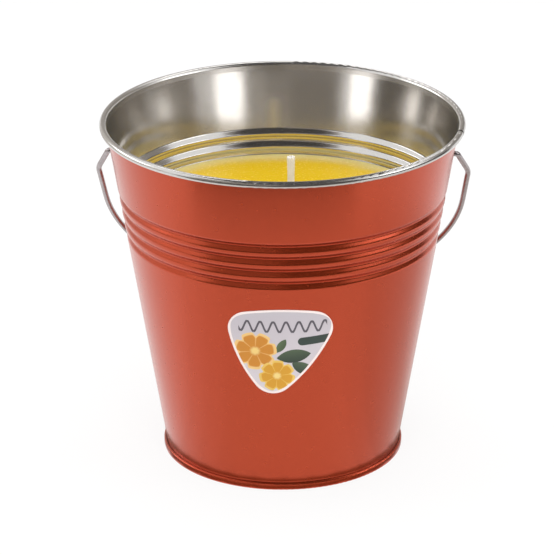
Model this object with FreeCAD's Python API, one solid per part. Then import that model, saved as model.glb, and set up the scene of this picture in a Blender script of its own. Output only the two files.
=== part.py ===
import FreeCAD, Part
import math
import os

# Candle bucket: a tapered tinplate pail with a rolled rim, four pressed grooves and a seamed foot.
# It holds a poured candle with a wick on a tin tab, and a wire bail swings in two holes below the rim.
# Millimetres. The Z axis is the pail's axis, Z = 0 is the floor, and X is the line of the bail's hinge.

# Sheet and rim: the cone runs straight up into the outward curl
sheet = 0.32
rimDia = 156.0
bucketHeight = 150.0
curlDia = 3.0

# Foot: the bottom's edge is folded over the wall's hook in a five-layer seam
footDia = 104.6
seamHeight = 3.0
layerGap = 0.04
floorFoldRadius = 0.45
hookTipGap = 0.12
kneeAboveSeam = 0.7
kneeRadius = 3.0
panelHeight = 3.4
panelFoldRadius = 0.8
panelRingWidth = 9.6
panelStepWidth = 2.0
panelStepDrop = 1.0
panelStepFold = 0.7

# Pressed grooves
grooveCount = 4
topGrooveBelowRim = 31.6
groovePitch = 5.8
grooveHalfWidth = 2.05
grooveNotchDepth = 1.5
grooveShoulderRadius = 1.5
grooveRootRadius = 1.1

# Side seam: one edge of the wall is set back under the other, and one end of the rim's curl tucks
# into the other, so that the outside shows a narrow joint
seamAzimuth = -9.5
lapWidth = 5.0
lapTopBelowRim = 7.0
lapFootAboveKnee = 1.5
jointGap = 0.2
jointInset = 0.8
tuckSlitWidth = 0.7
tuckSleeveLength = 6.0

# Bail: a bent wire whose ends hook through the wall. Its loop is one round arc as wide as the rim,
# and its shoulders stand out just enough to pass the rim
wireDia = 2.4
hingeBelowRim = 15.0
holeClearance = 0.08
hookInset = 3.1
hookLength = 6.0
hookBendRadius = 1.9
stubReach = 1.5
stubBendRadius = 1.9
rimClearance = 0.4
shoulderDrop = 12.8
shoulderRadius = 10.0
loopDrop = 27.3
restGap = 0.3

# Candle
waxBelowRim = 41.7
waxShrink = 0.25
waxFloorGap = 0.1
meniscusWidth = 3.5
meniscusHeight = 0.8
wickDia = 3.2
wickOffset = 3.6
wickLength = 24.6
wickClearance = 0.05
wickOpenLength = 8.7
wickFlare = 0.25
wickTopRound = 0.6
tabDia = 33.0
tabSheet = 0.3
tabNeckHeight = 5.0
tabGap = 0.05

# Label: a rounded triangle of paper on the front of the cone
labelAzimuth = -88.1
labelWidth = 47.9
labelHeight = 40.3
labelTopBelowRim = 64.8
labelTipShift = -5.2
labelSideBow = 3.95
labelCornerRadius = 8.8
labelPaper = 0.15
labelGap = 0.02

# Sizes that follow from those above
halfSheet = sheet / 2
layerPitch = sheet + layerGap
outerSkirt = footDia / 2 - halfSheet
wallHook = outerSkirt - layerPitch
coverHook = wallHook - layerPitch
wallFoot = coverHook - layerPitch
chuckWall = wallFoot - layerPitch
curlMid = (curlDia - sheet) / 2
curlCentreR = rimDia / 2 - curlDia / 2
curlCentreZ = bucketHeight - curlDia / 2
kneeHeight = seamHeight + kneeAboveSeam
kneeToCurl = (curlCentreR - wallFoot, curlCentreZ - kneeHeight)
coneLean = math.atan2(*kneeToCurl) - math.asin(curlMid / math.hypot(*kneeToCurl))
coneSlope = math.tan(coneLean)
grooveHeights = [bucketHeight - topGrooveBelowRim - i * groovePitch for i in reversed(range(grooveCount))]
hingeHeight = bucketHeight - hingeBelowRim
shoulderX = rimDia / 2 + rimClearance + wireDia / 2
loopRadius = rimDia / 2
shoulderToLoop = (shoulderX, loopDrop - shoulderDrop)
armLean = math.atan2(*shoulderToLoop) - math.asin(loopRadius / math.hypot(*shoulderToLoop))
loopCornerX = loopRadius * math.tan((math.pi / 2 - armLean) / 2)
loopReach = loopDrop + loopRadius
waxHeight = bucketHeight - waxBelowRim
wireRadius = wireDia / 2
wickRadius = wickDia / 2
innerPanelHeight = panelHeight - panelStepDrop
beyond = rimDia + bucketHeight
samePoint = 1e-6
origin = FreeCAD.Vector(0, 0, 0)
upward = FreeCAD.Vector(0, 0, 1)
alongHinge = FreeCAD.Vector(1, 0, 0)


def at(r, z):
    """A point of the half section that is turned about the pail's axis."""
    return FreeCAD.Vector(r, 0, z)


def coneRadius(z):
    """Radius of the middle of the wall's sheet where the cone is plain."""
    return wallFoot + coneSlope * (z - kneeHeight)


def coneOutside(z):
    return coneRadius(z) + halfSheet / math.cos(coneLean)


def unit(start, end):
    return (end - start).normalize()


def leftOf(direction):
    return FreeCAD.Vector(-direction.z, 0, direction.x)


def sideOfTurn(before, corner, after):
    """1 where the path turns to its left at the corner, -1 where it turns to its right."""
    return 1 if leftOf(unit(before, corner)).dot(unit(corner, after)) > 0 else -1


def parallel(points, offset):
    """The path moved to its left by offset, with mitred corners."""
    moved = []
    last = len(points) - 1
    for i, point in enumerate(points):
        before = leftOf(unit(points[max(i - 1, 0)], points[max(i, 1)]))
        after = leftOf(unit(points[min(i, last - 1)], points[min(i + 1, last)]))
        moved.append(point + (before + after) * (offset / (1 + before.dot(after))))
    return moved


def parallelRadii(points, radii, offset):
    corners = zip(points, points[1:], points[2:])
    return [radius - sideOfTurn(*corner) * offset for radius, corner in zip(radii, corners)]


def addLine(edges, start, end):
    if start.distanceToPoint(end) > samePoint:
        edges.append(Part.LineSegment(start, end).toShape())


def rounded(points, radii):
    """Straight runs joined by tangent arcs, with one radius for each inner corner."""
    edges = []
    start = points[0]
    for before, corner, after, radius in zip(points, points[1:], points[2:], radii):
        inward = unit(corner, before)
        outward = unit(corner, after)
        halfTurn = (math.pi - inward.getAngle(outward)) / 2
        reach = radius * math.tan(halfTurn)
        toMiddle = radius / math.cos(halfTurn) - radius
        arcStart = corner + inward * reach
        arcEnd = corner + outward * reach
        arcMiddle = corner + (inward + outward).normalize() * toMiddle
        addLine(edges, start, arcStart)
        edges.append(Part.Arc(arcStart, arcMiddle, arcEnd).toShape())
        start = arcEnd
    addLine(edges, start, points[-1])
    return edges


def filled(edges):
    return Part.Face(Part.Wire(Part.__sortEdges__(edges)))


def outline(points):
    return Part.Face(Part.makePolygon(points + points[:1]))


def turned(face):
    return face.revolve(origin, upward, 360)


def turnedAtSeam(face, width):
    """The face turned through a narrow angle about the side seam, width wide at the rim's radius."""
    angle = math.degrees(width / (rimDia / 2))
    sector = face.revolve(origin, upward, angle)
    sector.rotate(origin, upward, seamAzimuth - angle / 2)
    return sector


def sheetSection(points, radii, right, left):
    """The cut face between two curves parallel to a path, at the given distances to its right and left."""
    edges = []
    ends = []
    for offset in (left, -right):
        side = parallel(points, offset)
        edges += rounded(side, parallelRadii(points, radii, offset))
        ends.append((side[0], side[-1]))
    addLine(edges, ends[0][0], ends[1][0])
    addLine(edges, ends[0][1], ends[1][1])
    return filled(edges)


def bentSheet(points, radii):
    return turned(sheetSection(points, radii, halfSheet, halfSheet))


def curlPath():
    """The rolled rim, from where the cone meets its circle, over the top and round past its lowest point."""
    touch = at(curlCentreR - curlMid * math.cos(coneLean), curlCentreZ + curlMid * math.sin(coneLean))
    rise = curlCentreZ + curlMid - touch.z
    corner = curlMid * math.tan(math.pi / 8)
    diagonal = curlMid * math.cos(math.pi / 4)
    points = [
        touch,
        at(touch.x + rise * coneSlope, curlCentreZ + curlMid),
        at(curlCentreR + curlMid, curlCentreZ + curlMid),
        at(curlCentreR + curlMid, curlCentreZ - curlMid),
        at(curlCentreR - corner, curlCentreZ - curlMid),
        at(curlCentreR - diagonal, curlCentreZ - diagonal),
    ]
    return points, [curlMid] * 4


def conePath(foot, top):
    """The wall along the cone between two heights, with a notch of three corners at each groove."""
    points = [at(coneRadius(foot), foot)]
    radii = []
    for height in grooveHeights:
        for z, depth in ((height - grooveHalfWidth, 0), (height, grooveNotchDepth), (height + grooveHalfWidth, 0)):
            points.append(at(coneRadius(z) - depth, z))
        radii += [grooveShoulderRadius, grooveRootRadius, grooveShoulderRadius]
    points.append(at(coneRadius(top), top))
    return points, radii


def bodyPath():
    """The wall from its foot over the knee and up the cone to where the curl starts."""
    points, radii = conePath(kneeHeight, curlPath()[0][0].z)
    return [at(wallFoot, halfSheet + layerPitch)] + points, [kneeRadius] + radii


def lapPath(margin=0.0):
    """The stretch of the cone where the wall's edges lap, made longer at both ends by a margin."""
    return conePath(kneeHeight + lapFootAboveKnee - margin, bucketHeight - lapTopBelowRim + margin)


def bucketWall():
    """One sheet from the foot's hook to the end of the curl, its ends butted over a lap at the side seam."""
    body, bodyRadii = bodyPath()
    curl, curlRadii = curlPath()
    hookTop = seamHeight - halfSheet - layerPitch - hookTipGap
    hook = [at(wallHook, hookTop), at(wallHook, halfSheet + layerPitch)]
    radii = [layerPitch, layerPitch] + bodyRadii + curlRadii
    wall = bentSheet(hook + body[:-1] + curl[1:], radii)
    lap = turnedAtSeam(sheetSection(*lapPath(), 0, halfSheet + sheet), lapWidth)
    joint = turnedAtSeam(sheetSection(*lapPath(-jointInset), sheet, halfSheet), jointGap)
    tuck = turnedAtSeam(sheetSection(curl, curlRadii, halfSheet + sheet, 0), tuckSleeveLength)
    slit = turnedAtSeam(sheetSection(curl, curlRadii, halfSheet - layerGap, sheet), tuckSlitWidth)
    hole = Part.makeCylinder(wireRadius + holeClearance, 2 * beyond, at(-beyond, hingeHeight), alongHinge)
    return wall.fuse([lap, tuck]).cut([joint, slit, hole])


def panelPath():
    """The bottom's panel from its centre to the top of its outer wall, stepped down in the middle."""
    stepR = chuckWall - panelRingWidth
    points = [
        at(0, innerPanelHeight),
        at(stepR - panelStepWidth, innerPanelHeight),
        at(stepR, panelHeight),
        at(chuckWall, panelHeight),
    ]
    return points, [panelStepFold, panelStepFold]


def bucketBottom():
    """One pressed sheet: panel, chuck wall, the fold that stands on the floor, and the hook over the wall's."""
    panel, panelRadii = panelPath()
    coverTop = seamHeight - halfSheet
    points = panel + [
        at(chuckWall, halfSheet),
        at(outerSkirt, halfSheet),
        at(outerSkirt, coverTop),
        at(coverHook, coverTop),
        at(coverHook, halfSheet + 2 * layerPitch + hookTipGap),
    ]
    radii = panelRadii + [panelFoldRadius, floorFoldRadius, floorFoldRadius, layerPitch, layerPitch]
    return bentSheet(points, radii)


def bailPath():
    """The bent wire as it hangs straight down: hook, hinge stub, shoulder, arm and loop, then the same back."""
    half = [
        at(coneRadius(hingeHeight) - halfSheet - hookInset, hingeHeight - hookLength),
        at(coneRadius(hingeHeight) - halfSheet - hookInset, hingeHeight),
        at(coneOutside(hingeHeight) + stubReach, hingeHeight),
        at(shoulderX, hingeHeight - shoulderDrop),
        at(loopCornerX, hingeHeight - loopReach),
    ]
    radii = [hookBendRadius, stubBendRadius, shoulderRadius, loopRadius]
    mirrored = [at(-point.x, point.z) for point in reversed(half)]
    return half + mirrored, radii + radii[::-1]


def restAngle():
    """How far the hanging bail leans back, in degrees, where its loop lies on the wall."""
    reach = coneOutside(hingeHeight) * math.cos(coneLean) + wireRadius + restGap
    return math.degrees(math.asin(reach / loopReach) - coneLean)


def bailHandle():
    points, radii = bailPath()
    section = Part.Wire(Part.makeCircle(wireRadius, points[0], upward))
    wire = Part.Wire(rounded(points, radii)).makePipeShell([section], True, False)
    wire.rotate(at(0, hingeHeight), alongHinge, restAngle())
    return wire


def wickTab(grow=0.0):
    """A flat disc with a crimped neck for the wick, grown all round where it is the wax's cavity."""
    foot = at(wickOffset, innerPanelHeight + halfSheet + tabGap - grow)
    disc = Part.makeCylinder(tabDia / 2 + grow, tabSheet + 2 * grow, foot)
    neck = Part.makeCylinder(wickRadius + wickClearance + tabSheet + grow, tabNeckHeight + 2 * grow, foot)
    return disc.fuse(neck)


def wickBore():
    return Part.makeCylinder(wickRadius + wickClearance, beyond, at(wickOffset, 0))


def wick():
    """A stiff waxed cord that stands in the tab's neck and opens a little at its top."""
    foot = innerPanelHeight + halfSheet + 2 * tabGap
    top = waxHeight + wickLength
    openFoot = top - wickOpenLength
    cord = Part.makeCylinder(wickRadius, openFoot - foot, at(wickOffset, foot))
    cord = cord.fuse(Part.makeCone(wickRadius, wickRadius + wickFlare, wickOpenLength, at(wickOffset, openFoot)))
    brim = [edge for edge in cord.Edges if edge.BoundBox.ZMin > top - samePoint]
    return cord.makeFillet(wickTopRound, brim)


def innerSection():
    """The half section inside the wall, held back from its sheet, from the foot to the curl."""
    body, bodyRadii = bodyPath()
    offset = halfSheet + waxShrink
    side = parallel(body, offset)
    edges = rounded(side, parallelRadii(body, bodyRadii, offset))
    addLine(edges, side[-1], at(0, side[-1].z))
    addLine(edges, at(0, side[-1].z), at(0, side[0].z))
    addLine(edges, at(0, side[0].z), side[0])
    return filled(edges)


def belowSurface():
    """The half section below the wax's top, which is flat and climbs a little at the wall."""
    brimR = coneRadius(waxHeight)
    brimZ = waxHeight + meniscusHeight
    points = [at(0, waxHeight), at(brimR - meniscusWidth, waxHeight), at(brimR, brimZ), at(beyond, brimZ)]
    climbRadius = meniscusWidth * meniscusWidth / (2 * meniscusHeight)
    edges = rounded(points, [climbRadius, meniscusHeight])
    addLine(edges, at(beyond, brimZ), at(beyond, 0))
    addLine(edges, at(beyond, 0), origin)
    addLine(edges, origin, at(0, waxHeight))
    return filled(edges)


def belowPanel():
    """The half section under the wax, which follows the stepped panel at a small gap."""
    panel, panelRadii = panelPath()
    offset = halfSheet + waxFloorGap
    floor = parallel(panel, offset)
    floor[-1] = at(beyond, floor[-1].z)
    edges = rounded(floor, parallelRadii(panel, panelRadii, offset))
    addLine(edges, floor[-1], at(beyond, -panelHeight))
    addLine(edges, at(beyond, -panelHeight), at(0, -panelHeight))
    addLine(edges, at(0, -panelHeight), floor[0])
    return filled(edges)


def waxFill():
    """The poured candle, with room for the side seam's lap, the stepped panel, the tab and the wick."""
    section = innerSection().common(belowSurface()).cut(belowPanel()).Faces[0]
    lapRoom = sheetSection(*lapPath(waxShrink), 0, halfSheet + sheet + waxShrink)
    lapRoom = turnedAtSeam(lapRoom, lapWidth + 2 * waxShrink)
    return turned(section).cut([lapRoom, wickTab(tabGap), wickBore()])


def frontLabel():
    """A paper triangle with bowed sides and round corners, wrapped on the cone."""
    cornerLine = bucketHeight - labelTopBelowRim
    corners = [
        at(-labelWidth / 2, cornerLine),
        at(labelTipShift, cornerLine - labelHeight),
        at(labelWidth / 2, cornerLine),
    ]
    sides = []
    for start, end in zip(corners, corners[1:] + corners[:1]):
        bowed = (start + end) * 0.5 - leftOf(unit(start, end)) * labelSideBow
        sides.append(Part.Arc(start, bowed, end).toShape())
    block = filled(sides).extrude(FreeCAD.Vector(0, -beyond, 0))
    upright = [edge for edge in block.Edges if edge.BoundBox.YLength > beyond / 2]
    block = block.makeFillet(labelCornerRadius, upright)
    block.rotate(origin, upward, labelAzimuth + 90)
    low = at(coneOutside(kneeHeight) + labelGap, kneeHeight)
    high = at(coneOutside(hingeHeight) + labelGap, hingeHeight)
    paper = at(labelPaper, 0)
    return block.common(turned(outline([low, low + paper, high + paper, high])))


os.makedirs("parts", exist_ok=True)
nodes = {
    "bucket_wall": bucketWall(),
    "bucket_bottom": bucketBottom(),
    "bail_handle": bailHandle(),
    "wax_fill": waxFill(),
    "wick": wick(),
    "wick_tab": wickTab().cut(wickBore()),
    "front_label": frontLabel(),
}
for name, shape in nodes.items():
    shape.exportStep("parts/" + name + ".step")
    print(name, shape.isValid(), len(shape.Solids), "solids", round(shape.Volume, 1), "mm3")
print("bail leans back", round(restAngle(), 3), "degrees")
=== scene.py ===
import math
import bpy
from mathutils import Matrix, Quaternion, Vector


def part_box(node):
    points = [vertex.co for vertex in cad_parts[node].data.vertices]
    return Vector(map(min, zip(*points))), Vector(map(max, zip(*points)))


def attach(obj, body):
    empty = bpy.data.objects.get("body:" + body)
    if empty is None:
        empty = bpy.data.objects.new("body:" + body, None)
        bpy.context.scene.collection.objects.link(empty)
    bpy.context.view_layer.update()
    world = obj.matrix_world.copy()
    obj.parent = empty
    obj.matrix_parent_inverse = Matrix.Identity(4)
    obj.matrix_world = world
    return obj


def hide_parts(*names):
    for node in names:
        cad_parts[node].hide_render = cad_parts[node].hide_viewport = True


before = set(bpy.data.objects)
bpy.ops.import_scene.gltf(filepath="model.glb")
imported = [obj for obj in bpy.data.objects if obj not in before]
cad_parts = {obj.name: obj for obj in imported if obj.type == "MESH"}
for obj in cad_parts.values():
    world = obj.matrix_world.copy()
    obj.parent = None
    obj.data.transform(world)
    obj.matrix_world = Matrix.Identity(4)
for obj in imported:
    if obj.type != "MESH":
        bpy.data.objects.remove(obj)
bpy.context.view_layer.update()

mm = 0.001
bumpStrength = 0.4       # of every relief but the wick's
bpy.ops.object.select_all(action="DESELECT")


# Small helpers that every section uses

# An sRGB hex colour as the linear values that a shader takes
def linearColor(code):
    parts = [int(code[i:i + 2], 16) / 255 for i in (1, 3, 5)]
    return [p / 12.92 if p <= 0.04045 else ((p + 0.055) / 1.055) ** 2.4 for p in parts] + [1.0]


# Adds one node with its settings, sets or links its inputs, and gives the output that is asked for
def addNode(tree, kind, settings=None, inputs=None, output=0):
    node = tree.nodes.new(kind)
    for name, value in (settings or {}).items():
        setattr(node, name, value)
    for socket, value in (inputs or {}).items():
        if isinstance(value, bpy.types.NodeSocket):
            tree.links.new(value, node.inputs[socket])
        else:
            node.inputs[socket].default_value = value
    return node.outputs[output] if len(node.outputs) else node


# A new material with an empty node tree
def newMaterial(name):
    material = bpy.data.materials.new(name)
    material.use_nodes = True
    material.node_tree.nodes.clear()
    return material, material.node_tree


# Object coordinates counted in millimetres
def millimetres(tree, stretch=(1, 1, 1)):
    place = addNode(tree, "ShaderNodeTexCoord", output="Object")
    return addNode(tree, "ShaderNodeMapping", inputs={"Vector": place, "Scale": [s / mm for s in stretch]})


# Gives a CAD node its one material
def paint(name, material):
    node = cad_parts[name]
    node.data.materials.clear()
    node.data.materials.append(material)


# Camera: the photograph's view, from the fit of the pail's outlines
view = {
    "place": (46.0, -1387.5, 643.0),    # mm
    "aim": (-2.27, 0.60, 76.71),
    "roll": -0.11,                      # degrees
    "lens": 224.36,
    "sensor": 36.0,
    "azimuth": -88.1,                   # degrees, where the camera stands as seen from above
    "clip": (0.05, 50.0),               # m
}
cameraData = bpy.data.cameras.new("camera")
cameraData.lens = view["lens"]
cameraData.sensor_width = view["sensor"]
cameraData.clip_start, cameraData.clip_end = view["clip"]
camera = bpy.data.objects.new("camera", cameraData)
bpy.context.scene.collection.objects.link(camera)
camera.location = Vector(view["place"]) * mm
toAim = (Vector(view["aim"]) - Vector(view["place"])).normalized()
turn = toAim.to_track_quat("-Z", "Y") @ Quaternion((0, 0, 1), math.radians(view["roll"]))
camera.rotation_euler = turn.to_euler()
bpy.context.scene.camera = camera
print("camera set")


# Tinplate: thin steel sheet with a bright flow-melted tin coat, which mirrors its surroundings softly
# and shows fine rolling grain. Its outside was roller coated with a see-through red-orange lacquer
# before it was formed, so dark surroundings show as deep brown-red and white ones as coral.
tinplate = {
    "tin": "#dfdddb",
    "tinShade": "#cdcac6",
    "tinMetal": 0.95,        # the rest is the dull haze of its oxide and oil film
    "tinRoughness": 0.11,
    "crystalRoughness": 0.05,  # how much is added where the crystals show fully
    "curlRoughness": 0.21,   # the curling dies burnish the rim less evenly
    "spangle": 0.6,          # mm, the coat's crystals; finer in life, drawn as coarse as they need to show
    "patch": 14.3,           # mm, patches in which the crystals show more
    "patchEdge": (0.4, 0.65),    # where in the patches' noise they begin, and where they are full
    "crystalShare": (0.3, 0.7),  # how much the crystals show outside the patches and in them
    "crystalDepth": 0.45,    # against the depth of the grain
    "grainAcross": 0.4,      # mm, the sheet's rolling grain, which runs up the wall
    "grainAlong": 9.0,
    "grainDepth": 0.005,
    "lacquer": "#c1451e",
    "lacquerMetal": 0.82,    # how much of the metal shows through the film
    "lacquerRoughness": 0.26,
    "lacquerSwing": 0.03,    # how far the roughness swings to either side
    "film": 2.2,             # mm, the faint unevenness of the dried film
    "filmDepth": 0.05,       # against the depth of the grain
    "coatWeight": 0.5,
    "coatRoughness": 0.22,
    "bareAbove": 146.68,     # mm, the rolled rim shows the sheet's bare side
    "tuckAzimuth": -9.5,     # degrees, where the curl's end is tucked into its start
    "tuckHalf": 0.75,        # mm, half the width of the dark joint there, with its painted shadow
    # the cut edge's colour, darkened into a painted shadow of the slit
    "tuckEdgeShadowColor": "#3b3735",
}


# Where the dark joint of the tuck shows, its cut edge with a painted shadow of the slit: within its half
# width, on its side of the axis and on the curl
def tuckEdgeAndShadow(tree, place, onCurl):
    half = tinplate["tuckHalf"] * mm
    azimuth = math.radians(tinplate["tuckAzimuth"])
    across = addNode(tree, "ShaderNodeVectorMath", {"operation": "DOT_PRODUCT"},
                     {0: place, 1: (-math.sin(azimuth), math.cos(azimuth), 0)}, "Value")
    away = addNode(tree, "ShaderNodeMath", {"operation": "ABSOLUTE"}, {0: across})
    jointAndShadow = addNode(tree, "ShaderNodeMapRange", {"interpolation_type": "SMOOTHSTEP"}, {
        "Value": away, "From Min": 0.5 * half, "From Max": half, "To Min": 1.0, "To Max": 0.0})
    outwards = addNode(tree, "ShaderNodeVectorMath", {"operation": "DOT_PRODUCT"},
                       {0: place, 1: (math.cos(azimuth), math.sin(azimuth), 0)}, "Value")
    thatSide = addNode(tree, "ShaderNodeMath", {"operation": "GREATER_THAN"}, {0: outwards, 1: 0.0})
    jointAndShadow = addNode(tree, "ShaderNodeMath", {"operation": "MULTIPLY"}, {0: jointAndShadow, 1: thatSide})
    return addNode(tree, "ShaderNodeMath", {"operation": "MULTIPLY"}, {0: jointAndShadow, 1: onCurl})


def lacqueredTinplate():
    t = tinplate
    material, tree = newMaterial("lacquered_tinplate")

    # Lacquer is on the side that faces away from the axis, below the rolled rim
    place = addNode(tree, "ShaderNodeTexCoord", output="Object")
    faces = addNode(tree, "ShaderNodeTexCoord", output="Normal")
    fromAxis = addNode(tree, "ShaderNodeVectorMath", {"operation": "MULTIPLY"}, {0: place, 1: (1, 1, 0)})
    outward = addNode(tree, "ShaderNodeVectorMath", {"operation": "DOT_PRODUCT"},
                      {0: fromAxis, 1: faces}, "Value")
    height = addNode(tree, "ShaderNodeSeparateXYZ", inputs={0: place}, output="Z")
    facesOut = addNode(tree, "ShaderNodeMath", {"operation": "GREATER_THAN"}, {0: outward, 1: 0.0})
    belowRim = addNode(tree, "ShaderNodeMath", {"operation": "LESS_THAN"},
                       {0: height, 1: t["bareAbove"] * mm})
    onCurl = addNode(tree, "ShaderNodeMath", {"operation": "SUBTRACT"}, {0: 1.0, 1: belowRim})
    lacquered = addNode(tree, "ShaderNodeMath", {"operation": "MULTIPLY"}, {0: facesOut, 1: belowRim})

    # Grain and crystals of the tin, and the unevenness of the lacquer film
    along = millimetres(tree, (1 / t["grainAcross"], 1 / t["grainAcross"], 1 / t["grainAlong"]))
    grain = addNode(tree, "ShaderNodeTexNoise", inputs={"Vector": along, "Scale": 1.0, "Detail": 3.0})
    crystal = addNode(tree, "ShaderNodeTexVoronoi", {"feature": "F1"},
                      {"Vector": millimetres(tree), "Scale": 1 / t["spangle"]}, "Distance")
    crystal = addNode(tree, "ShaderNodeMath", {"operation": "SUBTRACT"}, {0: crystal, 1: 0.5})
    patch = addNode(tree, "ShaderNodeTexNoise", inputs={
        "Vector": millimetres(tree), "Scale": 1 / t["patch"], "Detail": 2.0})
    spangled = addNode(tree, "ShaderNodeMapRange", {"interpolation_type": "SMOOTHSTEP"}, {
        "Value": patch, "From Min": t["patchEdge"][0], "From Max": t["patchEdge"][1],
        "To Min": t["crystalShare"][0], "To Max": t["crystalShare"][1]})
    sparkle = addNode(tree, "ShaderNodeMath", {"operation": "MULTIPLY"}, {0: crystal, 1: spangled})
    film = addNode(tree, "ShaderNodeTexNoise", inputs={
        "Vector": millimetres(tree), "Scale": 1 / t["film"], "Detail": 1.0})

    tinColor = addNode(tree, "ShaderNodeMix", {"data_type": "RGBA"}, {
        0: grain, 6: linearColor(t["tinShade"]), 7: linearColor(t["tin"])}, 2)
    # the tuck's joint: its cut edge and a painted shadow of the slit
    tinColor = addNode(tree, "ShaderNodeMix", {"data_type": "RGBA"}, {
        0: tuckEdgeAndShadow(tree, place, onCurl), 6: tinColor, 7: linearColor(t["tuckEdgeShadowColor"])}, 2)
    color = addNode(tree, "ShaderNodeMix", {"data_type": "RGBA"}, {
        0: lacquered, 6: tinColor, 7: linearColor(t["lacquer"])}, 2)
    metal = addNode(tree, "ShaderNodeMix", {"data_type": "FLOAT"}, {
        0: lacquered, 2: t["tinMetal"], 3: t["lacquerMetal"]})
    coat = addNode(tree, "ShaderNodeMath", {"operation": "MULTIPLY"}, {0: lacquered, 1: t["coatWeight"]})

    tinRoughness = addNode(tree, "ShaderNodeMapRange", inputs={
        "Value": spangled, "To Min": t["tinRoughness"],
        "To Max": t["tinRoughness"] + t["crystalRoughness"]})
    tinRoughness = addNode(tree, "ShaderNodeMix", {"data_type": "FLOAT"}, {
        0: belowRim, 2: t["curlRoughness"], 3: tinRoughness})
    lacquerRoughness = addNode(tree, "ShaderNodeMapRange", inputs={
        "Value": film, "To Min": t["lacquerRoughness"] - t["lacquerSwing"],
        "To Max": t["lacquerRoughness"] + t["lacquerSwing"]})
    roughness = addNode(tree, "ShaderNodeMix", {"data_type": "FLOAT"}, {
        0: lacquered, 2: tinRoughness, 3: lacquerRoughness})

    # The curl is too tight for the grain to show well, so it is left smooth
    tinRelief = addNode(tree, "ShaderNodeMath", {"operation": "MULTIPLY_ADD"},
                        {0: sparkle, 1: t["crystalDepth"], 2: grain})
    tinRelief = addNode(tree, "ShaderNodeMath", {"operation": "MULTIPLY"}, {0: tinRelief, 1: belowRim})
    filmRelief = addNode(tree, "ShaderNodeMath", {"operation": "MULTIPLY"}, {0: film, 1: t["filmDepth"]})
    relief = addNode(tree, "ShaderNodeMix", {"data_type": "FLOAT"}, {
        0: lacquered, 2: tinRelief, 3: filmRelief})
    normal = addNode(tree, "ShaderNodeBump", inputs={
        "Height": relief, "Distance": t["grainDepth"] * mm, "Strength": bumpStrength})
    shader = addNode(tree, "ShaderNodeBsdfPrincipled", inputs={
        "Base Color": color,
        "Metallic": metal,
        "Roughness": roughness,
        "Normal": normal,
        "Coat Weight": coat,
        "Coat Roughness": t["coatRoughness"],
    })
    addNode(tree, "ShaderNodeOutputMaterial", inputs={"Surface": shader})
    return material


# Bail wire: cold-drawn low-carbon steel, electroplated with bright zinc. Drawing leaves it faintly
# uneven, and the plating turns it a pale, warm grey.
bailWire = {
    "light": "#c6bebf",
    "dark": "#9b9292",
    "roughness": 0.24,
    "swing": 0.06,           # how far the roughness swings to either side
    "speck": 1.67,           # mm
    "speckDepth": 0.006,
}


def drawnWire():
    w = bailWire
    material, tree = newMaterial("zinc_plated_wire")
    speck = addNode(tree, "ShaderNodeTexNoise", inputs={
        "Vector": millimetres(tree), "Scale": 1 / w["speck"], "Detail": 2.0})
    color = addNode(tree, "ShaderNodeMix", {"data_type": "RGBA"}, {
        0: speck, 6: linearColor(w["dark"]), 7: linearColor(w["light"])}, 2)
    roughness = addNode(tree, "ShaderNodeMapRange", inputs={
        "Value": speck, "To Min": w["roughness"] - w["swing"], "To Max": w["roughness"] + w["swing"]})
    normal = addNode(tree, "ShaderNodeBump", inputs={
        "Height": speck, "Distance": w["speckDepth"] * mm, "Strength": bumpStrength})
    shader = addNode(tree, "ShaderNodeBsdfPrincipled", inputs={
        "Base Color": color, "Metallic": 1.0, "Roughness": roughness, "Normal": normal})
    addNode(tree, "ShaderNodeOutputMaterial", inputs={"Surface": shader})
    return material


# Candle: paraffin dyed yellow and poured hot. Light sinks in a few millimetres and the skin has a soft
# gloss. Near the tin it is painted paler, a painted reflection of the bright tin wall and the meniscus.
candleWax = {
    "middle": "#dcb71d",
    # painted reflection: the pale ring by the wall stands in for the tin and the meniscus mirrored in the
    # wax
    "edge": "#d6c587",
    "edgeStart": 61.0,       # mm from the axis
    "edgeEnd": 72.0,
    "cloud": 16.7,           # mm, size of the bays in the pale edge
    "bay": 6.0,              # mm, how far in they reach
    "roughness": 0.26,
    "swing": 0.06,           # how far the roughness swings to either side
    "ior": 1.44,
    "sink": 2.5,             # mm that light sinks in, and below its share for red, green and blue
    "sinkShares": (1.0, 0.7, 0.2),
    "sinkWeight": 0.25,
    "ripple": 14.0,          # mm
    "rippleDepth": 0.4,
    "pit": 1.1,              # mm
    "pitDepth": 0.01,        # against the depth of the ripples
}


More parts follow.
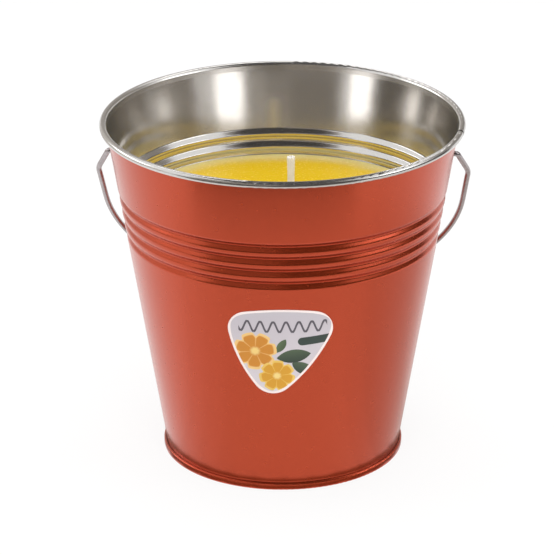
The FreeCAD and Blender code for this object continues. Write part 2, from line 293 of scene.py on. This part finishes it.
def pouredWax():
    w = candleWax
    material, tree = newMaterial("poured_paraffin")
    place = addNode(tree, "ShaderNodeTexCoord", output="Object")
    fromAxis = addNode(tree, "ShaderNodeVectorMath", {"operation": "MULTIPLY"}, {0: place, 1: (1, 1, 0)})
    radius = addNode(tree, "ShaderNodeVectorMath", {"operation": "LENGTH"}, {0: fromAxis}, "Value")
    cloud = addNode(tree, "ShaderNodeTexNoise", inputs={
        "Vector": millimetres(tree), "Scale": 1 / w["cloud"], "Detail": 3.0})
    wavy = addNode(tree, "ShaderNodeMath", {"operation": "MULTIPLY_ADD"},
                   {0: cloud, 1: w["bay"] * mm, 2: radius})
    # painted reflection of the tin wall, paler towards the wall, with wavy bays
    tinReflection = addNode(tree, "ShaderNodeMapRange", {"interpolation_type": "SMOOTHSTEP"}, {
        "Value": wavy, "From Min": w["edgeStart"] * mm, "From Max": w["edgeEnd"] * mm})
    ripple = addNode(tree, "ShaderNodeTexNoise", inputs={
        "Vector": millimetres(tree), "Scale": 1 / w["ripple"], "Detail": 1.0})
    pits = addNode(tree, "ShaderNodeTexNoise", inputs={
        "Vector": millimetres(tree), "Scale": 1 / w["pit"], "Detail": 2.0})
    color = addNode(tree, "ShaderNodeMix", {"data_type": "RGBA"}, {
        0: tinReflection, 6: linearColor(w["middle"]), 7: linearColor(w["edge"])}, 2)
    roughness = addNode(tree, "ShaderNodeMapRange", inputs={
        "Value": pits, "To Min": w["roughness"] - w["swing"], "To Max": w["roughness"] + w["swing"]})
    relief = addNode(tree, "ShaderNodeMath", {"operation": "MULTIPLY_ADD"},
                     {0: pits, 1: w["pitDepth"], 2: ripple})
    normal = addNode(tree, "ShaderNodeBump", inputs={
        "Height": relief, "Distance": w["rippleDepth"] * mm, "Strength": bumpStrength})
    shader = addNode(tree, "ShaderNodeBsdfPrincipled", inputs={
        "Base Color": color,
        "Roughness": roughness,
        "IOR": w["ior"],
        "Subsurface Weight": w["sinkWeight"],
        "Subsurface Radius": w["sinkShares"],
        "Subsurface Scale": w["sink"] * mm,
        "Normal": normal,
    })
    addNode(tree, "ShaderNodeOutputMaterial", inputs={"Surface": shader})
    return material


# Wick tab: a small disc stamped from bright tinplate, sealed in the wax
wickTab = {
    "dark": "#a9a7a1",
    "light": "#c6c4be",
    "roughness": (0.18, 0.34),
    "haze": 1.25,            # mm
}


def stampedTin():
    w = wickTab
    material, tree = newMaterial("stamped_tin")
    haze = addNode(tree, "ShaderNodeTexNoise", inputs={
        "Vector": millimetres(tree), "Scale": 1 / w["haze"], "Detail": 2.0})
    roughness = addNode(tree, "ShaderNodeMapRange", inputs={
        "Value": haze, "To Min": w["roughness"][0], "To Max": w["roughness"][1]})
    color = addNode(tree, "ShaderNodeMix", {"data_type": "RGBA"}, {
        0: haze, 6: linearColor(w["dark"]), 7: linearColor(w["light"])}, 2)
    shader = addNode(tree, "ShaderNodeBsdfPrincipled", inputs={
        "Base Color": color, "Metallic": 1.0, "Roughness": roughness})
    addNode(tree, "ShaderNodeOutputMaterial", inputs={"Surface": shader})
    return material


# Label: coated paper, offset printed and cut with a white edge. The design is a garden print of
# flat colours: two round blossoms, three leaves, a wavy line and a plain dark bar.
label = {
    "azimuth": -88.1,        # degrees, as in the solid
    "cornerLine": 85.2,      # mm, height of the paper's upper corners before they are rounded
    "width": 47.9,
    "height": 40.3,
    "tipShift": -5.2,
    "bow": 3.95,
    "rounding": (11.2, 13.9),  # mm, how softly the three sides run together
    "edge": 1.0,             # mm of white all round
    "edgeColor": "#f1e3e0",
    "fieldTop": "#bdb7be",
    "fieldLow": "#d6ced3",
    # middle across and up, radius, petals, turn in degrees, colours of heart, petal and rim
    "blossoms": [
        (-11.6, -16.4, 9.1, 7, 10, "#e9c878", "#c9821c", "#e8c078"),
        (-2.4, -28.2, 7.6, 7, 35, "#ecd080", "#d3981c", "#e4bf5c"),
    ],
    "notch": (0.8, 0.7),       # share of the radius between two petals, and how wide the notch opens
    "seam": (0.55, 0.3),       # how pale the line between two petals is, and its width
    "heartEdge": (0.12, 0.3),  # shares of the radius over which the heart turns to petal
    "rimEdge": (0.82, 0.9),    # and the petal to its rim
    # middle across and up, length, width, turn in degrees, colour
    "leaves": [
        (4.6, -18.6, 14.5, 6.4, 8, "#2c3b30"),
        (8.6, -24.8, 11.0, 5.4, -30, "#2f4034"),
        (-0.6, -13.6, 7.5, 3.4, 60, "#46583a"),
    ],
    "leafLight": "#6f8560",
    "leafLightShare": 0.35,  # how much of it a leaf's upper side takes
    "ink": "#565059",
    "wave": (-4.4, 2.3, 5.4, 18.5, 0.42),  # mm: middle, rise, length, half its run, half its thickness
    "barColor": "#31403a",
    "bar": (8.2, -11.6, 1.9, 5.0),   # mm: start across and up, half its height, degrees of rise
    "fibre": 0.455,          # mm
    "fibreDepth": 0.01,
    "roughness": (0.3, 0.42),
}


# Turns and moves the label's own coordinates, so that a motif is drawn about its middle
def motifPlace(tree, point, across, up, degrees):
    moved = addNode(tree, "ShaderNodeVectorMath", {"operation": "SUBTRACT"},
                    {0: point, 1: (across, up, 0)})
    return addNode(tree, "ShaderNodeMapping", inputs={
        "Vector": moved, "Rotation": (0, 0, -math.radians(degrees))})


# Each motif is printed over the colours so far. A leaf is what two equal arcs enclose.
def printLeaf(tree, color, point, x, y, length, width, degrees, code):
    spot = motifPlace(tree, point, x, y, degrees)
    arc = (length ** 2 + width ** 2) / (4 * width)
    upper = addNode(tree, "ShaderNodeVectorMath", {"operation": "DISTANCE"},
                    {0: spot, 1: (0, width / 2 - arc, 0)}, "Value")
    lower = addNode(tree, "ShaderNodeVectorMath", {"operation": "DISTANCE"},
                    {0: spot, 1: (0, arc - width / 2, 0)}, "Value")
    both = addNode(tree, "ShaderNodeMath", {"operation": "MAXIMUM"}, {0: upper, 1: lower})
    inside = addNode(tree, "ShaderNodeMath", {"operation": "LESS_THAN"}, {0: both, 1: arc})
    side = addNode(tree, "ShaderNodeSeparateXYZ", inputs={0: spot}, output="Y")
    lit = addNode(tree, "ShaderNodeMapRange", inputs={
        "Value": side, "From Min": -width / 2, "From Max": width / 2,
        "To Min": 0.0, "To Max": label["leafLightShare"]})
    leaf = addNode(tree, "ShaderNodeMix", {"data_type": "RGBA"}, {
        0: lit, 6: linearColor(code), 7: linearColor(label["leafLight"])}, 2)
    return addNode(tree, "ShaderNodeMix", {"data_type": "RGBA"}, {0: inside, 6: color, 7: leaf}, 2)


# A blossom's outline dips between its petals, and its heart and rim are paler
def printBlossom(tree, color, point, x, y, radius, petals, degrees, heart, petal, rim):
    p = label
    spot = motifPlace(tree, point, x, y, degrees)
    parts = addNode(tree, "ShaderNodeSeparateXYZ", inputs={0: spot}, output="X").node.outputs
    angle = addNode(tree, "ShaderNodeMath", {"operation": "ARCTAN2"}, {0: parts["Y"], 1: parts["X"]})
    turned = addNode(tree, "ShaderNodeMath", {"operation": "MULTIPLY"}, {0: angle, 1: petals / 2})
    wave = addNode(tree, "ShaderNodeMath", {"operation": "COSINE"}, {0: turned})
    lobe = addNode(tree, "ShaderNodeMath", {"operation": "ABSOLUTE"}, {0: wave})
    reach = addNode(tree, "ShaderNodeMapRange", {"interpolation_type": "SMOOTHSTEP"}, {
        "Value": lobe, "From Max": p["notch"][1], "To Min": radius * p["notch"][0], "To Max": radius})
    away = addNode(tree, "ShaderNodeVectorMath", {"operation": "LENGTH"}, {0: spot}, "Value")
    share = addNode(tree, "ShaderNodeMath", {"operation": "DIVIDE"}, {0: away, 1: reach})
    toPetal = addNode(tree, "ShaderNodeMapRange", {"interpolation_type": "SMOOTHSTEP"}, {
        "Value": share, "From Min": p["heartEdge"][0], "From Max": p["heartEdge"][1]})
    toRim = addNode(tree, "ShaderNodeMapRange", {"interpolation_type": "SMOOTHSTEP"}, {
        "Value": share, "From Min": p["rimEdge"][0], "From Max": p["rimEdge"][1]})
    seam = addNode(tree, "ShaderNodeMapRange", {"interpolation_type": "SMOOTHSTEP"}, {
        "Value": lobe, "From Min": 0.0, "From Max": p["seam"][1], "To Min": p["seam"][0], "To Max": 0.0})
    body = addNode(tree, "ShaderNodeMix", {"data_type": "RGBA"}, {
        0: seam, 6: linearColor(petal), 7: linearColor(rim)}, 2)
    body = addNode(tree, "ShaderNodeMix", {"data_type": "RGBA"}, {
        0: toPetal, 6: linearColor(heart), 7: body}, 2)
    body = addNode(tree, "ShaderNodeMix", {"data_type": "RGBA"}, {
        0: toRim, 6: body, 7: linearColor(rim)}, 2)
    inside = addNode(tree, "ShaderNodeMath", {"operation": "LESS_THAN"}, {0: share, 1: 1.0})
    return addNode(tree, "ShaderNodeMix", {"data_type": "RGBA"}, {0: inside, 6: color, 7: body}, 2)


# The line is measured straight up, so where it is steep it counts as thicker, and looks even
def printWave(tree, color, across, up):
    middle, rise, length, run, thick = label["wave"]
    steepest = rise * 2 * math.pi / length
    phase = addNode(tree, "ShaderNodeMath", {"operation": "MULTIPLY"}, {0: across, 1: 2 * math.pi / length})
    swing = addNode(tree, "ShaderNodeMath", {"operation": "SINE"}, {0: phase})
    line = addNode(tree, "ShaderNodeMath", {"operation": "MULTIPLY_ADD"}, {0: swing, 1: rise, 2: middle})
    offLine = addNode(tree, "ShaderNodeMath", {"operation": "SUBTRACT"}, {0: up, 1: line})
    offLine = addNode(tree, "ShaderNodeMath", {"operation": "ABSOLUTE"}, {0: offLine})
    slope = addNode(tree, "ShaderNodeMath", {"operation": "COSINE"}, {0: phase})
    slope = addNode(tree, "ShaderNodeMath", {"operation": "ABSOLUTE"}, {0: slope})
    width = addNode(tree, "ShaderNodeMapRange", inputs={
        "Value": slope, "To Min": thick, "To Max": thick * math.hypot(1, steepest)})
    onLine = addNode(tree, "ShaderNodeMath", {"operation": "LESS_THAN"}, {0: offLine, 1: width})
    offMiddle = addNode(tree, "ShaderNodeMath", {"operation": "ABSOLUTE"}, {0: across})
    inRun = addNode(tree, "ShaderNodeMath", {"operation": "LESS_THAN"}, {0: offMiddle, 1: run})
    onLine = addNode(tree, "ShaderNodeMath", {"operation": "MULTIPLY"}, {0: onLine, 1: inRun})
    return addNode(tree, "ShaderNodeMix", {"data_type": "RGBA"}, {
        0: onLine, 6: color, 7: linearColor(label["ink"])}, 2)


# The bar starts round and runs on to the paper's edge: past its start only the height counts
def printBar(tree, color, point):
    x, y, half, degrees = label["bar"]
    beyond = 1000            # mm, above anything on the label
    spot = motifPlace(tree, point, x, y, degrees)
    capped = addNode(tree, "ShaderNodeVectorMath", {"operation": "MINIMUM"}, {0: spot, 1: (0, beyond, 0)})
    offBar = addNode(tree, "ShaderNodeVectorMath", {"operation": "LENGTH"}, {0: capped}, "Value")
    onBar = addNode(tree, "ShaderNodeMath", {"operation": "LESS_THAN"}, {0: offBar, 1: half})
    return addNode(tree, "ShaderNodeMix", {"data_type": "RGBA"}, {
        0: onBar, 6: color, 7: linearColor(label["barColor"])}, 2)


# How far a point is outside the arc through two corners of the label, in millimetres
def pastSide(tree, point, start, end, bow):
    start, end = Vector(start), Vector(end)
    chord = end - start
    radius = (chord.length ** 2 / 4 + bow ** 2) / (2 * bow)
    inward = Vector((-chord.y, chord.x)).normalized()
    centre = (start + end) / 2 + inward * (radius - bow)
    away = addNode(tree, "ShaderNodeVectorMath", {"operation": "DISTANCE"},
                   {0: point, 1: (centre.x, centre.y, 0)}, "Value")
    return addNode(tree, "ShaderNodeMath", {"operation": "SUBTRACT"}, {0: away, 1: radius})


# The white edge follows the paper's own outline, three bowed sides with rounded corners
def printEdge(tree, color, point):
    p = label
    left, tip, right = (-p["width"] / 2, 0), (p["tipShift"], -p["height"]), (p["width"] / 2, 0)
    pastLeft, pastRight, pastTop = [pastSide(tree, point, start, end, p["bow"])
                                    for start, end in ((left, tip), (tip, right), (right, left))]
    outside = addNode(tree, "ShaderNodeMath", {"operation": "SMOOTH_MAX"},
                      {0: pastTop, 1: pastLeft, 2: p["rounding"][0]})
    outside = addNode(tree, "ShaderNodeMath", {"operation": "SMOOTH_MAX"},
                      {0: outside, 1: pastRight, 2: p["rounding"][1]})
    onEdge = addNode(tree, "ShaderNodeMath", {"operation": "GREATER_THAN"}, {0: outside, 1: -p["edge"]})
    return addNode(tree, "ShaderNodeMix", {"data_type": "RGBA"}, {
        0: onEdge, 6: color, 7: linearColor(p["edgeColor"])}, 2)


def printedPaper():
    p = label
    material, tree = newMaterial("printed_coated_paper")

    # The label's own coordinates, in millimetres across from its middle and up from its corner line
    place = addNode(tree, "ShaderNodeTexCoord", output="Object")
    facing = math.radians(p["azimuth"] + 90)
    acrossAxis = (math.cos(facing) / mm, math.sin(facing) / mm, 0)
    across = addNode(tree, "ShaderNodeVectorMath", {"operation": "DOT_PRODUCT"},
                     {0: place, 1: acrossAxis}, "Value")
    height = addNode(tree, "ShaderNodeSeparateXYZ", inputs={0: place}, output="Z")
    up = addNode(tree, "ShaderNodeMath", {"operation": "MULTIPLY_ADD"},
                 {0: height, 1: 1 / mm, 2: -p["cornerLine"]})
    point = addNode(tree, "ShaderNodeCombineXYZ", inputs={0: across, 1: up})

    fade = addNode(tree, "ShaderNodeMapRange", inputs={
        "Value": up, "From Min": 0, "From Max": -p["height"]})
    color = addNode(tree, "ShaderNodeMix", {"data_type": "RGBA"}, {
        0: fade, 6: linearColor(p["fieldTop"]), 7: linearColor(p["fieldLow"])}, 2)
    for leaf in p["leaves"]:
        color = printLeaf(tree, color, point, *leaf)
    for blossom in p["blossoms"]:
        color = printBlossom(tree, color, point, *blossom)
    color = printWave(tree, color, across, up)
    color = printBar(tree, color, point)
    color = printEdge(tree, color, point)

    fibres = addNode(tree, "ShaderNodeTexNoise", inputs={
        "Vector": millimetres(tree), "Scale": 1 / p["fibre"], "Detail": 2.0})
    normal = addNode(tree, "ShaderNodeBump", inputs={
        "Height": fibres, "Distance": p["fibreDepth"] * mm, "Strength": bumpStrength})
    roughness = addNode(tree, "ShaderNodeMapRange", inputs={
        "Value": fibres, "To Min": p["roughness"][0], "To Max": p["roughness"][1]})
    shader = addNode(tree, "ShaderNodeBsdfPrincipled", inputs={
        "Base Color": color, "Roughness": roughness, "Normal": normal})
    addNode(tree, "ShaderNodeOutputMaterial", inputs={"Surface": shader})
    return material


tinMaterial = lacqueredTinplate()
paint("bucket_wall", tinMaterial)
paint("bucket_bottom", tinMaterial)
paint("bail_handle", drawnWire())
paint("wax_fill", pouredWax())
paint("wick_tab", stampedTin())
paint("front_label", printedPaper())
print("materials on the CAD nodes")


# Wick: a round braid of two sets of cotton strands that wind opposite ways and pass over and under
wick = {
    "strands": 8,             # each way
    "strandRadius": 0.34,     # mm
    "rounding": 1,            # makes a strand six-sided, which looks round at its size
    "wave": 0.13,             # mm, how far a strand rises and dips as it crosses
    "pitch": 13.0,            # mm, height of one full turn
    "tipSink": 0.4,           # share of a strand's radius by which its end stays under the solid's top
    "openLength": 8.7,        # mm, the top opens a little
    "flare": 0.22,
    "openSteps": 4,           # points between two crossings above the wax, and one below it
    "fibre": (0.11, 0.367),   # mm across and along
    "fibreDepth": 0.05,
    "fibreStrength": 0.6,     # cotton is rougher than the other surfaces
    "light": "#fffdf8",
    "shade": "#f3ede3",
    "roughness": 0.65,
    "sink": 0.6,              # mm that light sinks in, and below its share for red, green and blue
    "sinkShares": (1.0, 0.8, 0.5),
    "sinkWeight": 0.2,
}


# Braided cotton that was dipped in wax: nearly white and matt, with a slight sheen from the dip
def waxedCotton():
    w = wick
    material, tree = newMaterial("waxed_cotton")
    fibreAcross, fibreAlong = w["fibre"]
    along = millimetres(tree, (1 / fibreAcross, 1 / fibreAcross, 1 / fibreAlong))
    fibres = addNode(tree, "ShaderNodeTexNoise", inputs={"Vector": along, "Scale": 1.0, "Detail": 3.0})
    color = addNode(tree, "ShaderNodeMix", {"data_type": "RGBA"}, {
        0: fibres, 6: linearColor(w["shade"]), 7: linearColor(w["light"])}, 2)
    normal = addNode(tree, "ShaderNodeBump", inputs={
        "Height": fibres, "Distance": w["fibreDepth"] * mm, "Strength": w["fibreStrength"]})
    shader = addNode(tree, "ShaderNodeBsdfPrincipled", inputs={
        "Base Color": color,
        "Roughness": w["roughness"],
        "Subsurface Weight": w["sinkWeight"],
        "Subsurface Radius": w["sinkShares"],
        "Subsurface Scale": w["sink"] * mm,
        "Normal": normal,
    })
    addNode(tree, "ShaderNodeOutputMaterial", inputs={"Surface": shader})
    return material


def braidedWick():
    w = wick
    low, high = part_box("wick")
    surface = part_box("wax_fill")[1].z / mm
    middle = (low + high) / 2
    centre = Vector((middle.x, middle.y, 0)) / mm
    foot = low.z / mm
    top = high.z / mm - w["strandRadius"] * w["tipSink"]
    bodyRadius = (high.x - low.x) / mm / 2 - w["flare"]
    ring = bodyRadius - w["strandRadius"] - w["wave"]

    # Points along a strand: one at each crossing in the wax, and closer ones above it, where it shows
    crossing = w["pitch"] / (2 * w["strands"])
    sunk = int((surface - foot) / crossing) - 1
    heights = [foot + crossing * i for i in range(sunk)]
    fine = int((top - heights[-1]) / crossing * w["openSteps"])
    heights += [heights[-1] + (top - heights[-1]) * (i + 1) / fine for i in range(fine)]

    curve = bpy.data.curves.new("braided_wick", "CURVE")
    curve.dimensions = "3D"
    curve.bevel_depth = w["strandRadius"] * mm
    curve.bevel_resolution = w["rounding"]
    curve.use_fill_caps = True
    # The two sets wind opposite ways, and where one stands out at a crossing the other dips
    for way in (1, -1):
        for k in range(w["strands"]):
            spline = curve.splines.new("POLY")
            spline.points.add(len(heights) - 1)
            for z, point in zip(heights, spline.points):
                angle = way * 2 * math.pi * z / w["pitch"] + 2 * math.pi * k / w["strands"]
                opened = max(0.0, (z - top + w["openLength"]) / w["openLength"]) * w["flare"]
                radius = ring + opened + way * w["wave"] * math.cos(math.pi * z / crossing)
                spot = centre + Vector((radius * math.cos(angle), radius * math.sin(angle), z))
                point.co = (*(spot * mm), 1)
    piece = bpy.data.objects.new("braided_wick", curve)
    bpy.context.scene.collection.objects.link(piece)
    bpy.context.view_layer.objects.active = piece
    piece.select_set(True)
    bpy.ops.object.convert(target="MESH")
    piece = bpy.context.object
    bpy.ops.object.shade_smooth()
    piece.data.materials.clear()
    piece.data.materials.append(waxedCotton())
    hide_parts("wick")
    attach(piece, "bucket")
    piece.select_set(False)


braidedWick()
print("wick braided")


# Studio: a white board on the floor, white surroundings, and dark, grey and pale cards that only
# reflections show, as in the dim room round a lit table
studio = {
    "floorSize": 8.0,         # m
    "floorColor": "#fbfaf8",
    "floorRoughness": 0.9,
    "floorShadow": 0.14,      # how much of the board's own light and shade shows on its white
    "worldDiffuse": 0.46,     # what the surroundings give to matt surfaces
    # rows of cards: foot and top as distance and height in m, and for each card its two sides in
    # degrees from the camera's azimuth and its colour
    "cards": [
        # the table top further out, darkest in front of the pail
        ((0.42, 0.003), (0.80, 0.003), [(-64, 50, "#0f0c0b")]),
        ((0.25, 0.003), (0.42, 0.003), [
            (-56, -42, "#8f8780"), (-42, -28, "#5d5650"), (-28, 16, "#322c28"),
            (16, 30, "#5d5650"), (30, 44, "#8f8780")]),
        # the front wall, low and high, and the wall behind the pail
        ((0.80, 0.003), (0.80, 0.13), [(-67, 86, "#1d1916")]),
        ((0.80, 0.13), (0.62, 0.62), [(-55, -2, "#8d867f"), (-2, 48, "#3c3631")]),
        ((1.00, 0.22), (0.80, 0.80), [
            (102, 170, "#8b857f"), (170, 202, "#a39d97"), (202, 230, "#c2bdb7")]),
        # near cards, which keep the side boxes out of the grooves' ends
        ((0.20, 0.095), (0.20, 0.174), [(30, 104, "#241d1a"), (-132, -62, "#cfc9c3")]),
        # the table top close by, shaded a little in steps, for the lower wall
        ((0.057, 0.001), (0.25, 0.002), [
            (-72, -56, "#f8f6f5"), (-56, -40, "#f2efed"), (-40, 30, "#ece8e5"), (30, 44, "#eeebe8"),
            (44, 58, "#e8e3df"), (58, 110, "#ddd7d2"), (110, 124, "#e8e3df"), (124, 138, "#f3f0ee")]),
        # painted shadow: a dark card round the foot, standing in for the contact shadow that the foot ring
        # mirrors
        ((0.0534, 0.0003), (0.0566, 0.0004), [(-180, 180, "#7c6b60")]),
    ],
    "archCentre": 0.1,        # m above the floor
    # overhead cards for the curl: radius in m, half width as a share of it, degrees from the front
    # up and over, colour
    "arches": [
        (0.80, 0.36, 38, 108, "#1d1916"),
        (0.81, 0.43, 34, 112, "#534c47"),
        (0.82, 0.50, 30, 116, "#96908a"),
    ],
    "cardCells": 24,          # cells along each side of a card
    "boxAim": (0, 0, 0.1),    # m, where the side and front boxes point
    # degrees from the camera's azimuth, distance, width, height and middle height in m, and watts
    "sideBoxes": [
        (-108, 1.3, 0.86, 0.50, 0.47, 3.3),
        (73, 1.3, 0.70, 0.50, 0.47, 2.6),
    ],
    "topBox": (0.2, 1.5, 1.4, 15.0),   # distance behind the pail, height and side in m, and watts
    "frontBox": (0.9, 1.1, 0.8, 8.0),  # distance, height and side in m, and watts; mirrors don't show it
}


# Matt white board, which the camera and mirrors see as the plain white of a lit sweep
def whiteBoard():
    material, tree = newMaterial("white_board")
    path = addNode(tree, "ShaderNodeLightPath", output="Is Camera Ray").node.outputs
    seen = addNode(tree, "ShaderNodeMath", {"operation": "MAXIMUM"}, {
        0: path["Is Camera Ray"], 1: path["Is Glossy Ray"]})
    share = addNode(tree, "ShaderNodeMath", {"operation": "MULTIPLY"},
                    {0: seen, 1: 1 - studio["floorShadow"]})
    board = addNode(tree, "ShaderNodeBsdfPrincipled", inputs={
        "Base Color": linearColor(studio["floorColor"]), "Roughness": studio["floorRoughness"]})
    white = addNode(tree, "ShaderNodeEmission", inputs={"Color": linearColor("#ffffff"), "Strength": 1.0})
    both = addNode(tree, "ShaderNodeMixShader", inputs={0: share, 1: board, 2: white})
    addNode(tree, "ShaderNodeOutputMaterial", inputs={"Surface": both})
    return material


bpy.ops.mesh.primitive_plane_add(size=studio["floorSize"])
floor = bpy.context.object
floor.name = "floor"
floor.data.materials.append(whiteBoard())
floor.select_set(False)


# The place of one point of a card that stands or lies round the pail; across and share go from -1 to 1
def onWall(across, share, foot, top, left, right):
    a = math.radians(view["azimuth"] + left + (right - left) * (across + 1) / 2)
    away, height = Vector(foot).lerp(Vector(top), (share + 1) / 2)
    return Vector((away * math.cos(a), away * math.sin(a), height))


# The same for a card that is bent over the pail from front to back
def onArch(across, share, radius, half, start, end):
    t = math.radians(start + (end - start) * (share + 1) / 2)
    a = math.radians(view["azimuth"])
    front, side = Vector((math.cos(a), math.sin(a), 0)), Vector((-math.sin(a), math.cos(a), 0))
    spot = front * math.cos(t) + Vector((0, 0, math.sin(t))) + side * across * half
    return spot * radius + Vector((0, 0, studio["archCentre"]))


# A bent card, which only reflections show; shape gives each of its points a place
def bentCard(name, code, shape, *measures):
    bpy.ops.mesh.primitive_grid_add(
        x_subdivisions=studio["cardCells"], y_subdivisions=studio["cardCells"], size=2)
    card = bpy.context.object
    card.name = name
    for vertex in card.data.vertices:
        vertex.co = shape(vertex.co.x, vertex.co.y, *measures)
    for way in ("camera", "diffuse", "transmission", "volume_scatter", "shadow"):
        setattr(card, "visible_" + way, False)
    material, tree = newMaterial("matt_card")
    shader = addNode(tree, "ShaderNodeEmission", inputs={"Color": linearColor(code), "Strength": 1.0})
    addNode(tree, "ShaderNodeOutputMaterial", inputs={"Surface": shader})
    card.data.materials.append(material)
    card.select_set(False)


cards = [(foot, top, *card) for foot, top, row in studio["cards"] for card in row]
for i, (*measures, code) in enumerate(cards):
    bentCard("card_%d" % i, code, onWall, *measures)
for i, (*measures, code) in enumerate(studio["arches"]):
    bentCard("arch_%d" % i, code, onArch, *measures)

# Surroundings: plain white to the camera and to mirrors, dimmer to matt surfaces
world = bpy.data.worlds.new("studio")
bpy.context.scene.world = world
world.use_nodes = True
sky = world.node_tree
sky.nodes.clear()
path = addNode(sky, "ShaderNodeLightPath", output="Is Camera Ray").node.outputs
seen = addNode(sky, "ShaderNodeMath", {"operation": "MAXIMUM"}, {
    0: path["Is Glossy Ray"], 1: path["Is Transmission Ray"]})
seen = addNode(sky, "ShaderNodeMath", {"operation": "MAXIMUM"}, {0: path["Is Camera Ray"], 1: seen})
strength = addNode(sky, "ShaderNodeMix", {"data_type": "FLOAT"}, {
    0: seen, 2: studio["worldDiffuse"], 3: 1.0})
background = addNode(sky, "ShaderNodeBackground", inputs={
    "Color": linearColor("#ffffff"), "Strength": strength})
addNode(sky, "ShaderNodeOutputWorld", inputs={"Surface": background})


# A soft box that points at its aim
def softBox(name, spot, aim, width, height, watts):
    lamp = bpy.data.lights.new(name, "AREA")
    lamp.shape = "RECTANGLE"
    lamp.size = width
    lamp.size_y = height
    lamp.energy = watts
    box = bpy.data.objects.new(name, lamp)
    bpy.context.scene.collection.objects.link(box)
    box.location = spot
    box.rotation_euler = (Vector(aim) - Vector(spot)).to_track_quat("-Z", "Y").to_euler()
    return box


for i, (azimuth, away, width, height, middle, watts) in enumerate(studio["sideBoxes"]):
    a = math.radians(view["azimuth"] + azimuth)
    spot = (away * math.cos(a), away * math.sin(a), middle)
    softBox("side_box_%d" % i, spot, studio["boxAim"], width, height, watts)
behind, height, side, watts = studio["topBox"]
softBox("top_box", (0, behind, height), (0, 0, 0), side, side, watts)
away, height, side, watts = studio["frontBox"]
frontBox = softBox("front_box", (0, -away, height), studio["boxAim"], side, side, watts)
frontBox.visible_glossy = False
bpy.context.scene.view_settings.view_transform = "Standard"
print("floor and lights set")
